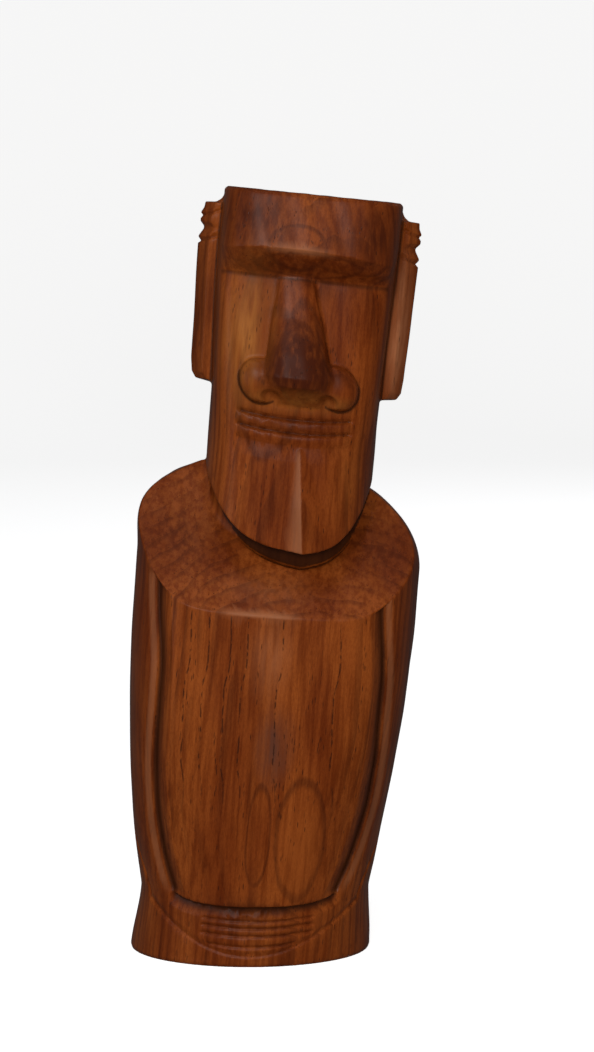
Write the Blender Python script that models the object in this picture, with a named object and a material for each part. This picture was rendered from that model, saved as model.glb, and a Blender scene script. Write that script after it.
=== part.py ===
"""A carved wooden moai figure that stands on its own flat underside.

The whole figure is one piece of wood, so it is one solid. It is first carved upright about the z axis:
front towards -y, the figure's right side towards -x. The last step gives it the lean of the real carving.
"""

import math

import bmesh
import bpy
from mathutils import Vector

# Driving dimensions, in metres
HEIGHT = 0.300
BASE_WIDTH = 0.096
WAIST_WIDTH = 0.0915
CHEST_WIDTH = 0.1126
BODY_DEPTH = 0.079
JAW_WIDTH = 0.0664
CROWN_WIDTH = 0.0702
HEAD_DEPTH = 0.073
EAR_SPAN = 0.0872
EAR_LENGTH = 0.022
NOSE_REACH = 0.0125
CHIN_REACH = 0.0035
WING_REACH = 0.0062
BROW_OVERHANG = 0.010
ARM_GROOVE = 0.0019
HAND_GROOVE = 0.0014
FINGER_GROOVE = 0.0010
LIP_GROOVE = 0.0012
UNDERSIDE_EDGE = 0.0012

# Pose: the upright carving leans to its left, and its head is turned over a little further than its body
LEAN = math.radians(4.7)
BODY_ROLL = math.radians(4.4)
HEAD_ROLL = math.radians(6.4)
CROWN_ROLL = math.radians(5.8)

# Heights of the carving, as shares of the figure's height
WAIST = 0.085
BELLY_EDGE = 0.078
ARM_GROOVE_LOW = 0.090
ARM_CURVE_TOP = 0.300
HAND_ARC_LOW = 0.014
HAND_ARC_HIGH = 0.078
CHEST_EDGE = 0.459
ARM_TOP = 0.505
CHEST_FULL = 0.483
SHOULDER_TURN = 0.507
SHOULDER_TOP = 0.640
SHOULDER_BACK = 0.550
CHIN = 0.540
JAW_CORNER = 0.640
NECK_FOOT = 0.420
NECK_TOP = 0.700
LIP_LINES = (0.7115, 0.6945)
FINGER_LINES = (0.0640, 0.0545, 0.0440, 0.0300)
NOSTRIL = 0.757
NOSE_TIP = 0.766
NOSE_FOOT = 0.7265
NOSE_TOP = 0.903
WING_PLACE = 0.0500
WING_HALF_WIDTH = 0.0275
WING_HALF_HEIGHT = 0.0290
UNDER_BROW = 0.891
BROW_EDGE = 0.928
EAR_FOOT = 0.743
EAR_NOTCH = 0.943
EAR_CROWN = 0.977
CROWN_EDGE = 0.004

# Gaps between neighbouring cuts, as shares of the figure's height
CARVING_GAP = 0.010

# Resolution of the lofted forms
BODY_COLUMNS = 64
HEAD_COLUMNS = 44
NECK_COLUMNS = 32
NOSE_COLUMNS = 26
JAW_COLUMNS = 26
GROOVE_POINTS = 22
SMALLEST_EDGE = 0.000005


def share(part_of_height):
    return part_of_height * HEIGHT


def ease(low, high, value):
    """0 below low, 1 above high, and a smooth step between them."""
    step = min(1.0, max(0.0, (value - low) / (high - low)))
    return step * step * (3.0 - 2.0 * step)


def mix(first, second, part):
    return first + (second - first) * part


def between(stations, value):
    """The value's place along a list of (value, result) pairs, with straight lines between them."""
    for (low, first), (high, second) in zip(stations, stations[1:]):
        if value <= high:
            return mix(first, second, max(0.0, (value - low) / (high - low)))
    return stations[-1][1]


# Helpers that make and join objects


def clear_scene():
    for item in list(bpy.data.objects):
        bpy.data.objects.remove(item, do_unlink=True)


def new_collection(name):
    collection = bpy.data.collections.new(name)
    bpy.context.scene.collection.children.link(collection)
    return collection


def object_from_bmesh(name, shape, collection):
    bmesh.ops.recalc_face_normals(shape, faces=shape.faces)
    mesh = bpy.data.meshes.new(name)
    shape.to_mesh(mesh)
    shape.free()
    made = bpy.data.objects.new(name, mesh)
    collection.objects.link(made)
    return made


def loft(name, rings, collection):
    """A closed solid through rings of equally many points, with a flat cap at each end."""
    shape = bmesh.new()
    levels = [[shape.verts.new(point) for point in ring] for ring in rings]
    columns = len(levels[0])
    for lower, upper in zip(levels, levels[1:]):
        for i in range(columns):
            j = (i + 1) % columns
            shape.faces.new((lower[i], lower[j], upper[j], upper[i]))
    shape.faces.new(list(reversed(levels[0])))
    shape.faces.new(levels[-1])
    return object_from_bmesh(name, shape, collection)


def clear_specks(mesh):
    """Splits the faces into triangles, without the slivers that a cut leaves under the smallest edge."""
    shape = bmesh.new()
    shape.from_mesh(mesh)
    bmesh.ops.remove_doubles(shape, verts=shape.verts, dist=SMALLEST_EDGE)
    bmesh.ops.triangulate(shape, faces=shape.faces)
    bmesh.ops.dissolve_degenerate(shape, edges=shape.edges, dist=SMALLEST_EDGE)
    shape.to_mesh(mesh)
    shape.free()


def combine(target, others, operation):
    """Applies an exact Boolean with each of the other objects, which are then no longer needed."""
    for other in others:
        cut = target.modifiers.new(operation.lower(), "BOOLEAN")
        cut.operation = operation
        cut.solver = "EXACT"
        cut.object = other
        graph = bpy.context.evaluated_depsgraph_get()
        result = bpy.data.meshes.new_from_object(target.evaluated_get(graph))
        target.modifiers.remove(cut)
        clear_specks(result)
        target.data = result
        bpy.data.objects.remove(other, do_unlink=True)


def superellipse_point(angle, power):
    """A point of a rounded square whose half sides are 1: power sets how square it is."""
    across = math.copysign(abs(math.cos(angle)) ** (2.0 / power), math.cos(angle))
    along = math.copysign(abs(math.sin(angle)) ** (2.0 / power), math.sin(angle))
    return across, along


def superellipse_ring(centre_x, half_width, front, back, height, power, columns):
    """Points round a level section whose front and back depths differ."""
    ring = []
    for i in range(columns):
        across, along = superellipse_point(2.0 * math.pi * i / columns, power)
        depth = back if along > 0.0 else front
        ring.append(Vector((centre_x + half_width * across, depth * along, height)))
    return ring


# The body


def body_centre(height):
    """The body stands slightly to its right of the axis, and its right shoulder is the fuller one."""
    drift = share(0.0043) * ease(share(0.06), share(0.20), height)
    shoulder = share(0.0165) * ease(share(0.52), share(0.61), height)
    return -drift - shoulder


def body_half_width(height):
    waist = share(WAIST)
    full = share(CHEST_FULL)
    if height < waist:
        return mix(BASE_WIDTH, WAIST_WIDTH, ease(0.0, waist, height)) / 2.0
    rise = min(1.0, (height - waist) / (full - waist))
    wide = mix(WAIST_WIDTH, CHEST_WIDTH, 1.0 - (1.0 - rise) ** 2) / 2.0
    turn = share(SHOULDER_TURN)
    if height < turn:
        return wide
    over = min(1.0, (height - turn) / (share(SHOULDER_TOP) - turn))
    beside_neck = 0.42 * JAW_WIDTH
    return mix(beside_neck, wide, 1.0 - over**3.5)


def body_power(height):
    """Oval at the underside, and squarer at the chest."""
    return mix(2.0, 2.9, ease(0.0, share(0.40), height))


def body_front(height):
    belly = share(0.007) * math.sin(math.pi * min(1.0, height / share(CHEST_EDGE)))
    return 0.51 * BODY_DEPTH + belly


def body_back():
    return 0.49 * BODY_DEPTH


def front_bulge(height):
    """The chest's section bulges past its front plane by this factor, and the plane cuts the bulge flat."""
    return mix(1.0, 1.075, ease(share(0.10), share(0.35), height))


def body_depth(along, height):
    """The y of a body point, from its place between the front (-1) and the back (1) of its section."""
    if along > 0.0:
        return body_back() * along
    return -body_front(height) * min(1.0, -along * front_bulge(height))


def body_surface(x, height):
    """The y of the body's front at this x and height."""
    power = body_power(height)
    across = min(0.999, abs(x - body_centre(height)) / body_half_width(height))
    return body_depth(-((1.0 - across**power) ** (1.0 / power)), height)


def body_heights():
    low = [0.0, UNDERSIDE_EDGE]
    shares = (0.02, 0.045, 0.07, WAIST, 0.11, 0.14, 0.18, 0.23, 0.28, 0.33, 0.38, 0.42, 0.46, 0.50)
    shoulder_steps = 9
    turn = [mix(0.52, SHOULDER_TOP, step / shoulder_steps) for step in range(shoulder_steps + 1)]
    return low + [share(part) for part in shares + tuple(turn)]


def cut_plane(target, point, normal):
    """Cuts away what lies on the side that the normal points to, and closes the cut."""
    shape = bmesh.new()
    shape.from_mesh(target.data)
    geometry = shape.verts[:] + shape.edges[:] + shape.faces[:]
    cut = bmesh.ops.bisect_plane(shape, geom=geometry, plane_co=point, plane_no=normal, clear_outer=True)
    edges = [item for item in cut["geom_cut"] if isinstance(item, bmesh.types.BMEdge)]
    bmesh.ops.edgeloop_fill(shape, edges=edges)
    bmesh.ops.recalc_face_normals(shape, faces=shape.faces)
    shape.to_mesh(target.data)
    shape.free()


def body_ring(height):
    inset = 1.0 - UNDERSIDE_EDGE / BODY_DEPTH if height == 0.0 else 1.0
    ring = []
    for i in range(BODY_COLUMNS):
        across, along = superellipse_point(2.0 * math.pi * i / BODY_COLUMNS, body_power(height))
        x = body_centre(height) + body_half_width(height) * across * inset
        ring.append(Vector((x, body_depth(along, height) * inset, height)))
    return ring


def make_body(collection):
    """The lofted body, with a flat slope from the chest's edge up to the shoulders and one down behind."""
    body = loft("body", [body_ring(height) for height in body_heights()], collection)
    ridge = Vector((0.0, share(0.017), share(SHOULDER_TOP)))
    front_edge = Vector((0.0, -body_front(share(CHEST_EDGE)), share(CHEST_EDGE)))
    slope = ridge - front_edge
    cut_plane(body, front_edge, Vector((0.0, -slope.z, slope.y)))
    back_edge = Vector((0.0, body_back(), share(SHOULDER_BACK)))
    slope = back_edge - ridge
    cut_plane(body, back_edge, Vector((0.0, -slope.z, slope.y)))
    return body


# The head


def face_middle(height):
    """The nose, mouth and chin keep an upright line, so in the leaning carving it slants across the face."""
    chin_side = 0.0250
    brow_side = -0.0107
    part = (height - share(CHIN)) / (share(UNDER_BROW) - share(CHIN))
    return share(mix(chin_side, brow_side, part))


def head_half_width(height):
    return mix(JAW_WIDTH, CROWN_WIDTH, ease(share(0.72), share(0.95), height)) / 2.0


def brow_front():
    return 0.55 * HEAD_DEPTH


def cheek_front(height):
    """The flat of the face runs forward from under the brow down to the chin."""
    under = brow_front() - BROW_OVERHANG
    chin = 0.53 * HEAD_DEPTH
    part = (share(UNDER_BROW) - height) / (share(UNDER_BROW) - share(CHIN))
    return mix(under, chin, min(1.0, part) ** 0.8 if part > 0.0 else 0.0)


def head_power(height):
    """Round at the jaw, and square at the cheeks."""
    return mix(3.4, 6.0, ease(share(0.66), share(0.82), height))


def head_sections():
    """(height, front depth, squareness of the section) from the jaw to the crown."""
    crown_front = brow_front() - share(0.018)
    crown_edge = share(CROWN_EDGE)
    sections = []
    for part in (0.50, 0.54, 0.59, 0.65, 0.71, 0.77, 0.83, UNDER_BROW):
        height = share(part)
        sections.append((height, cheek_front(height), head_power(height)))
    sections.append((share(BROW_EDGE), brow_front(), 5.0))
    sections.append((share(0.965), mix(brow_front(), crown_front, 0.52), 5.0))
    sections.append((HEIGHT - crown_edge, crown_front, 5.0))
    sections.append((HEIGHT, crown_front - crown_edge, 5.0))
    return sections


def jaw_line(x):
    """The height of the jaw's lower edge: lowest at the chin, and steep at the sides."""
    chin_x = face_middle(share(CHIN))
    side = JAW_WIDTH / 2.0
    run = (x - chin_x) / (side - chin_x) if x > chin_x else (chin_x - x) / (side + chin_x)
    rise = share(JAW_CORNER) - share(CHIN)
    return share(CHIN) + rise * (0.2 * run + 0.8 * run**4)


def jaw_path(reach, gap):
    """(x, z) along the jaw's edge, lowered by the gap at the chin and by nothing at the sides."""
    chin_x = face_middle(share(CHIN))
    widest = JAW_WIDTH / 2.0 + abs(chin_x)
    path = []
    for i in range(JAW_COLUMNS + 1):
        x = mix(-reach, reach, i / JAW_COLUMNS)
        spread = min(1.0, abs(x - chin_x) / widest)
        path.append((x, jaw_line(x) - gap * (1.0 - spread**2)))
    return path


def upright_plate(name, outline, front, back, collection):
    """A solid with the outline of (x, z) points, from one y to another."""
    rings = [[Vector((x, y, z)) for x, z in outline] for y in (front, back)]
    return loft(name, rings, collection)


def head_centre(height):
    """The crown stands a little to the figure's left of the jaw."""
    return share(0.0033) * ease(share(0.85), HEIGHT, height)


def make_head_block(collection):
    rings = []
    back = 0.45 * HEAD_DEPTH
    for height, front, power in head_sections():
        inset = share(CROWN_EDGE) if height == HEIGHT else 0.0
        half_width = head_half_width(height) - inset
        centre = head_centre(height)
        rings.append(superellipse_ring(centre, half_width, front, back - inset, height, power, HEAD_COLUMNS))
    return loft("head", rings, collection)


def cut_below_jaw(head, collection):
    reach = JAW_WIDTH / 2.0 + share(CARVING_GAP)
    floor = share(NECK_FOOT)
    outline = [(-reach, floor)] + jaw_path(reach, 0.0) + [(reach, floor)]
    combine(head, [upright_plate("below_jaw", outline, -HEAD_DEPTH, HEAD_DEPTH, collection)], "DIFFERENCE")


def make_neck(collection):
    """The neck stands back under the jaw and runs into the shoulders."""
    half_width = 0.46 * JAW_WIDTH
    front = 0.26 * HEAD_DEPTH
    back = 0.42 * HEAD_DEPTH
    rings = []
    for part in (NECK_FOOT, NECK_TOP):
        rings.append(superellipse_ring(0.0, half_width, front, back, share(part), 2.6, NECK_COLUMNS))
    return loft("neck", rings, collection)


def make_neck_hollow(collection):
    """The hollow that is cut into the shoulders all along under the jaw, down to the neck."""
    reach = JAW_WIDTH / 2.0 - share(0.004)
    lid = share(JAW_CORNER)
    outline = jaw_path(reach, share(0.024)) + [(reach, lid), (-reach, lid)]
    return upright_plate("neck_hollow", outline, -HEAD_DEPTH, -0.20 * HEAD_DEPTH, collection)


# The face


def nose_wedge(across, height):
    """How far the nose stands out of the face: most at its tip, and turned in again below it."""
    part = height / HEIGHT
    widths = ((NOSE_FOOT, 0.0300), (NOSE_TIP, 0.0450), (0.795, 0.0400), (0.840, 0.0330), (NOSE_TOP, 0.0225))
    rises = ((NOSE_FOOT, 0.0), (0.754, 0.93), (NOSE_TIP, 1.0), (0.795, 0.8), (0.840, 0.42), (NOSE_TOP, 0.1))
    side = min(1.0, abs(across) / share(between(widths, part)))
    return NOSE_REACH * between(rises, part) * (1.0 - side**2.5) ** 0.4


def wing_outline(height):
    """How far a wing's round outline reaches to each side of the wing's middle at this height, or 0."""
    level = (height - share(NOSTRIL)) / share(WING_HALF_HEIGHT)
    return share(WING_HALF_WIDTH) * math.sqrt(max(0.0, 1.0 - level**2))


def nose_wing(across, height):
    """How far the round wings of the nostrils stand out on both sides."""
    level = (height - share(NOSTRIL)) / share(WING_HALF_HEIGHT)
    side = (abs(across) - share(WING_PLACE)) / share(WING_HALF_WIDTH)
    return WING_REACH * max(0.0, 1.0 - side**2 - level**2) ** 0.35


def nostril(across, height):
    """How deep the small scoop under each wing is."""
    level = (height - share(NOSTRIL - 0.018)) / share(0.009)
    side = (abs(across) - share(0.037)) / share(0.013)
    return share(0.009) * max(0.0, 1.0 - side**2 - level**2)


def nose_relief(across, height):
    """The wedge and the wings run into each other in a soft hollow as wide as the blend."""
    wedge = nose_wedge(across, height)
    wing = nose_wing(across, height)
    blend = share(0.014)
    near = max(0.0, 1.0 - abs(wedge - wing) / blend)
    fillet = blend * near**2 / 4.0 if wing > 0.0 and wedge > 0.0 else 0.0
    return max(0.0, max(wedge, wing) + fillet - nostril(across, height))


def nose_ring(height):
    """A level section of the nose: its front follows the relief, and its back is inside the head."""
    wedge = share(mix(0.0450, 0.0225, ease(share(NOSE_TIP), share(NOSE_TOP), height)))
    wing = wing_outline(height)
    reach = max(wedge, share(WING_PLACE) + wing if wing > 0.0 else 0.0)
    middle = face_middle(height)
    face = -cheek_front(height) + share(0.002)
    root = -cheek_front(height) + share(0.012)
    ring = [Vector((middle + reach, root, height)), Vector((middle - reach, root, height))]
    for i in range(NOSE_COLUMNS + 1):
        across = -reach * math.cos(math.pi * i / NOSE_COLUMNS)
        ring.append(Vector((middle + across, face - nose_relief(across, height), height)))
    return ring


def make_nose(collection):
    """The wide foot with its wings, the tip, and the ridge that narrows to the brow."""
    foot = [mix(NOSE_FOOT, NOSTRIL, step / 7) for step in range(7)]
    wings = [mix(NOSTRIL, NOSTRIL + WING_HALF_HEIGHT, step / 7) for step in range(8)]
    ridge = [mix(NOSTRIL + WING_HALF_HEIGHT, NOSE_TOP, step / 6) for step in range(1, 7)]
    return loft("nose", [nose_ring(share(part)) for part in foot + wings + ridge], collection)


def make_chin_keel(collection):
    """The ridge down the middle of the chin: narrow and steep on its right side, and wide on its left."""
    rings = []
    stations = ((NECK_FOOT, 0.028, 0.060, 1.0), (0.60, 0.017, 0.034, 0.72), (0.674, 0.006, 0.014, 0.15))
    for part, right, left, rise in stations:
        height = share(part)
        x = face_middle(height)
        front = -cheek_front(height) + share(0.003)
        tip = front - share(0.003) - CHIN_REACH * rise
        root = front + share(0.02)
        outline = (
            (x - share(right), root),
            (x + share(left), root),
            (x + share(left), front),
            (x, tip),
            (x - share(right), front),
        )
        rings.append([Vector((along, depth, height)) for along, depth in outline])
    return loft("chin_keel", rings, collection)


def make_head(collection):
    """The block with the keel on its chin, cut off below the jaw, with the nose, the lips and the ears."""
    head = make_head_block(collection)
    combine(head, [make_chin_keel(collection)], "UNION")
    cut_below_jaw(head, collection)
    ears = [make_ear(side, collection) for side in (-1.0, 1.0)]
    combine(head, [make_nose(collection)] + ears, "UNION")
    lips = [groove("lip", lip_path(part), LIP_GROOVE, collection) for part in LIP_LINES]
    combine(head, lips, "DIFFERENCE")
    return head


# The ears


def ear_profile():
    """(height, reach to the side) up the ear: foot, lobe, notch, plug, flat top and the hollow above it."""
    return (
        (EAR_FOOT, 0.50),
        (EAR_FOOT + 0.003, 0.78),
        (EAR_FOOT + 0.012, 0.88),
        (EAR_FOOT + 0.030, 0.92),
        (EAR_NOTCH - 0.012, 1.0),
        (EAR_NOTCH, 0.88),
        (EAR_NOTCH + 0.007, 0.99),
        (EAR_NOTCH + 0.020, 0.99),
        (EAR_CROWN - 0.008, 0.93),
        (EAR_CROWN, 0.92),
        (EAR_CROWN + 0.001, 0.68),
        (EAR_CROWN + 0.006, 0.57),
        (EAR_CROWN + 0.015, 0.50),
    )


def make_ear(side, collection):
    """A long lobe against the head's side, with a flat front and a cut-off outer corner."""
    outer = EAR_SPAN / 2.0
    inner = head_half_width(HEIGHT) - share(0.03)
    rings = []
    for part, reach in ear_profile():
        height = share(part)
        edge = mix(inner, outer, reach)
        corner = mix(inner, outer, max(0.0, reach - 0.26))
        front = -0.62 * EAR_LENGTH * mix(0.85, 1.0, reach)
        outline = (
            (inner, front),
            (corner, front),
            (edge, front + 0.22 * EAR_LENGTH),
            (edge, 0.38 * EAR_LENGTH),
            (inner, 0.38 * EAR_LENGTH),
        )
        centre = head_centre(height)
        rings.append([Vector((centre + side * x, y, height)) for x, y in outline])
    return loft("ear", rings, collection)


# Grooves


def groove(name, path, depth, collection):
    """A square bar on its corner, swept along a path on the surface, which cuts a V of the depth.

    The bar's middle stands a little out of the wood, so that its sides, not its corners, meet the surface.
    """
    stand_out = 0.3
    size = depth / (1.0 - stand_out)
    curve = bpy.data.curves.new(name, "CURVE")
    curve.dimensions = "3D"
    curve.bevel_depth = size
    curve.bevel_resolution = 0
    curve.use_fill_caps = True
    line = curve.splines.new("POLY")
    line.points.add(len(path) - 1)
    for point, place in zip(line.points, path):
        outward = Vector((place.x, place.y, 0.0)).normalized()
        point.co = (*(place + outward * size * stand_out), 1.0)
    guide = bpy.data.objects.new(name, curve)
    collection.objects.link(guide)
    graph = bpy.context.evaluated_depsgraph_get()
    mesh = bpy.data.meshes.new_from_object(guide.evaluated_get(graph))
    bpy.data.objects.remove(guide, do_unlink=True)
    shape = bmesh.new()
    shape.from_mesh(mesh)
    bmesh.ops.remove_doubles(shape, verts=shape.verts, dist=1e-6)
    return object_from_bmesh(name, shape, collection)


def arm_edge(height):
    """How far the front edge of each arm is from the middle: it turns in to the wrist at the bottom."""
    low = share(ARM_GROOVE_LOW)
    high = share(ARM_CURVE_TOP)
    turn = max(0.0, 1.0 - (height - low) / (high - low))
    straight = 0.40 * CHEST_WIDTH
    return straight - share(0.040) * turn**2.2


def arm_middle(height):
    """Towards the shoulders both arms' front edges lean to the figure's right."""
    return -share(0.0117) * ease(share(0.37), share(0.50), height)


def arm_front_path(side):
    path = []
    for i in range(GROOVE_POINTS + 1):
        height = mix(share(ARM_GROOVE_LOW), share(ARM_TOP), i / GROOVE_POINTS)
        x = arm_middle(height) + side * arm_edge(height)
        path.append(Vector((x, body_surface(x, height), height)))
    return path


def belly_edge_path():
    """The belly's lower edge crosses the foot of each arm's front line and ends just past it."""
    reach = arm_edge(share(ARM_GROOVE_LOW)) + share(CARVING_GAP)
    path = []
    for i in range(GROOVE_POINTS + 1):
        x = mix(-reach, reach, i / GROOVE_POINTS)
        height = share(BELLY_EDGE) + share(0.013) * (x / reach) ** 4
        path.append(Vector((x, body_surface(x, height), height)))
    return path


def hand_arc_reach():
    return 0.43 * BASE_WIDTH


def hand_arc_height(x):
    rise = share(HAND_ARC_HIGH) - share(HAND_ARC_LOW)
    return share(HAND_ARC_LOW) + rise * (x / hand_arc_reach()) ** 2


def arm_back_point(part, start):
    """A point behind the arm, relative to the body's middle, from the arc's end (0) to the shoulder (1)."""
    height = mix(share(HAND_ARC_HIGH), share(ARM_TOP), part)
    angle = mix(-start, math.radians(24.0), ease(0.0, 0.45, part))
    across, along = superellipse_point(angle, body_power(height))
    return body_half_width(height) * across, body_depth(along, height), height


def hand_arc_path():
    """Under the hands, from side to side, and on up behind both arms."""
    arc = []
    for i in range(GROOVE_POINTS + 1):
        x = mix(-hand_arc_reach(), hand_arc_reach(), i / GROOVE_POINTS)
        height = hand_arc_height(x)
        arc.append(Vector((x, body_surface(x, height), height)))
    start = math.atan2(-arc[-1].y, arc[-1].x)
    behind = [arm_back_point(i / GROOVE_POINTS, start) for i in range(1, GROOVE_POINTS + 1)]
    left = [Vector((body_centre(z) - x, y, z)) for x, y, z in reversed(behind)]
    right = [Vector((body_centre(z) + x, y, z)) for x, y, z in behind]
    return left + arc + right


def finger_path(part):
    """A line between two fingers, which ends short of the arc below the hands."""
    rise = (part - HAND_ARC_LOW) / (HAND_ARC_HIGH - HAND_ARC_LOW)
    limit = hand_arc_reach() * math.sqrt(rise) - share(CARVING_GAP)
    start = -min(share(0.066), limit)
    end = min(share(0.080), limit)
    steps = 8
    path = []
    for i in range(steps + 1):
        x = mix(start, end, i / steps)
        height = share(part) - share(0.004) * math.sin(math.pi * i / steps)
        path.append(Vector((x, body_surface(x, height), height)))
    return path


def lip_path(part):
    half = share(0.074)
    steps = 10
    path = []
    for i in range(steps + 1):
        across = mix(-half, half, i / steps)
        height = share(part) + share(0.005) * (across / half) ** 2
        x = across + share(0.002)
        side = min(0.999, abs(x) / head_half_width(height))
        power = head_power(height)
        y = -cheek_front(height) * (1.0 - side**power) ** (1.0 / power)
        path.append(Vector((x, y, height)))
    return path


def carve_body(body, collection):
    cuts = [("belly_edge", belly_edge_path(), ARM_GROOVE), ("hand_arc", hand_arc_path(), HAND_GROOVE)]
    cuts.extend(("arm_front", arm_front_path(side), ARM_GROOVE) for side in (-1.0, 1.0))
    cuts.extend(("finger", finger_path(part), FINGER_GROOVE) for part in FINGER_LINES)
    grooves = [groove(name, path, depth, collection) for name, path, depth in cuts]
    combine(body, grooves + [make_neck_hollow(collection)], "DIFFERENCE")


# Pose and finish


def roll_at(height):
    body = BODY_ROLL * ease(0.0, share(0.43), height)
    head = (HEAD_ROLL - BODY_ROLL) * ease(share(0.56), share(0.70), height)
    crown = (HEAD_ROLL - CROWN_ROLL) * ease(share(0.90), HEIGHT, height)
    return body + head - crown


def lean_over(mesh):
    """Tips each level of the upright carving over to the figure's left, the higher the further."""
    for vertex in mesh.vertices:
        x, y, z = vertex.co
        roll = roll_at(z)
        vertex.co = (x * math.cos(roll) + z * math.tan(LEAN), y, z - x * math.sin(roll))


def wood_material():
    material = bpy.data.materials.new("oiled_brown_wood")
    material.use_nodes = True
    shader = material.node_tree.nodes["Principled BSDF"]
    shader.inputs["Base Color"].default_value = (0.23, 0.085, 0.028, 1.0)
    shader.inputs["Roughness"].default_value = 0.38
    shader.inputs["Metallic"].default_value = 0.0
    return material


def main():
    clear_scene()
    parts = new_collection("wooden_moai_figure")
    figure = make_body(parts)
    figure.name = "moai_figure"
    carve_body(figure, parts)
    combine(figure, [make_neck(parts), make_head(parts)], "UNION")
    lean_over(figure.data)
    figure.data.shade_smooth()
    figure.data.set_sharp_from_angle(angle=math.radians(25.0))
    figure.data.materials.clear()
    figure.data.materials.append(wood_material())


main()
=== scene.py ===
"""The carved wooden moai figure with its finished surface, on a pale floor in soft studio light.

The figure is one piece of wood. It is built upright from lofted forms, fused into one fine mesh, carved
by moving the mesh's points, and last leaned over as the real carving leans.
"""

import math

import bmesh
import bpy
import numpy as np
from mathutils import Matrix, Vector


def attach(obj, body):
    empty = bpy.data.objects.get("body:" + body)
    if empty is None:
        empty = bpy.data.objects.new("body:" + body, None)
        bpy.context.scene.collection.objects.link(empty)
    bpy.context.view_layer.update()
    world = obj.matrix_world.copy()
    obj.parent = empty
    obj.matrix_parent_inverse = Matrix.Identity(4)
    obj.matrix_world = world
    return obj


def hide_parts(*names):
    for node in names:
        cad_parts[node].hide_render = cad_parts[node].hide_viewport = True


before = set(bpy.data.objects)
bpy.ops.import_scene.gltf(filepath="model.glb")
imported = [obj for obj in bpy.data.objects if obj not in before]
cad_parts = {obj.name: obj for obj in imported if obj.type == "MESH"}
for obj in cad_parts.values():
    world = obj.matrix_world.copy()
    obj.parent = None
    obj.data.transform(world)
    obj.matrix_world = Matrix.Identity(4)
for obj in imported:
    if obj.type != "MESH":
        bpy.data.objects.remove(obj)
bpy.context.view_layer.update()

# Sizes of the carving, in metres, as in the solid that it replaces
HEIGHT = 0.300
BASE_WIDTH = 0.096
WAIST_WIDTH = 0.0915
CHEST_WIDTH = 0.1126
BODY_DEPTH = 0.079
JAW_WIDTH = 0.0664
CROWN_WIDTH = 0.0702
HEAD_DEPTH = 0.073
EAR_SPAN = 0.0872
EAR_LENGTH = 0.022
NOSE_REACH = 0.0125
CHIN_REACH = 0.0035
WING_REACH = 0.0062
BROW_OVERHANG = 0.010
UNDERSIDE_EDGE = 0.0012

# Pose of the leaning carving
LEAN = math.radians(4.7)
BODY_ROLL = math.radians(4.4)
HEAD_ROLL = math.radians(6.4)
CROWN_ROLL = math.radians(5.8)

# Heights and widths of the carving, as shares of the figure's height
WAIST = 0.085
BELLY_EDGE = 0.078
ARM_GROOVE_LOW = 0.090
ARM_CURVE_TOP = 0.300
HAND_ARC_LOW = 0.014
HAND_ARC_HIGH = 0.078
CHEST_EDGE = 0.459
ARM_TOP = 0.505
CHEST_FULL = 0.483
SHOULDER_TURN = 0.507
SHOULDER_TOP = 0.640
SHOULDER_BACK = 0.550
CHIN = 0.540
JAW_CORNER = 0.640
NECK_FOOT = 0.420
NECK_TOP = 0.700
LIP_LINES = (0.7115, 0.6945)
LOWER_LIP = 0.678
FINGER_LINES = (0.0640, 0.0545, 0.0440, 0.0300)
FINGERS_RIGHT = 0.066
FINGERS_LEFT = 0.080
DENT_PLACE = (-0.010, 0.066)
DENT_RADII = (0.020, 0.008)
NOSTRIL = 0.757
NOSE_TIP = 0.766
NOSE_FOOT = 0.7265
NOSE_TOP = 0.903
WING_PLACE = 0.0500
WING_HALF_WIDTH = 0.0275
WING_HALF_HEIGHT = 0.0290
NOSE_RIDGE_LOW = 0.795
NOSE_RIDGE_HIGH = 0.840
NOSE_FOOT_HALF_WIDTH = 0.0300
NOSE_TIP_HALF_WIDTH = 0.0450
NOSE_TOP_HALF_WIDTH = 0.0225
FACE_MIDDLE_AT_CHIN = 0.0250
FACE_MIDDLE_AT_BROW = -0.0107
KEEL_TOP = 0.674
LIP_HALF_WIDTH = 0.074
UNDER_BROW = 0.891
BROW_EDGE = 0.928
EAR_FOOT = 0.743
EAR_NOTCH = 0.943
EAR_CROWN = 0.977
CROWN_EDGE = 0.004
WAIST_DRIFT = 0.0043
SHOULDER_DRIFT = 0.0165
ARM_DRIFT = 0.0117
CROWN_DRIFT = 0.0033
BELLY_FULLNESS = 0.007
CHEST_ROUNDING = 0.004
RIDGE_SETBACK = 0.017
FOREHEAD_SLANT = 0.018
NECK_GAP = 0.024

# How much of the body's and of the head's depth is in front of the figure's middle, and how much behind it
BODY_FRONT = 0.51
BODY_BACK = 0.49
BROW_FRONT = 0.55
CHIN_FRONT = 0.53
HEAD_BACK = 0.45
NECK_FRONT = 0.26
NECK_BACK = 0.42

# How square the level sections are: 2 is an oval, and a high number is nearly a rectangle
BASE_SQUARENESS = 2.0
CHEST_SQUARENESS = 2.9
NECK_SQUARENESS = 2.6
JAW_SQUARENESS = 3.4
CHEEK_SQUARENESS = 6.0
FOREHEAD_SQUARENESS = 5.0

# How far the chest's section bulges past the plane that cuts its front flat, as a share of its depth
CHEST_BULGE = 1.075

# How far the hands' arc reaches, as a share of the base's width
HAND_ARC_REACH = 0.43

# How far round the section the line behind each arm is, at its foot and higher up
ARM_BACK_LOW = math.radians(-28.0)
ARM_BACK_HIGH = math.radians(24.0)

# Depths of the carved lines, in metres
ARM_GROOVE = 0.0022
BELLY_GROOVE = 0.0022
ARC_GROOVE = 0.0008
FINGER_GROOVE = 0.0011
LIP_GROOVE = 0.0016
EAR_GROOVE = 0.0012
DEEPEST_GROOVE = 0.0022

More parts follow.
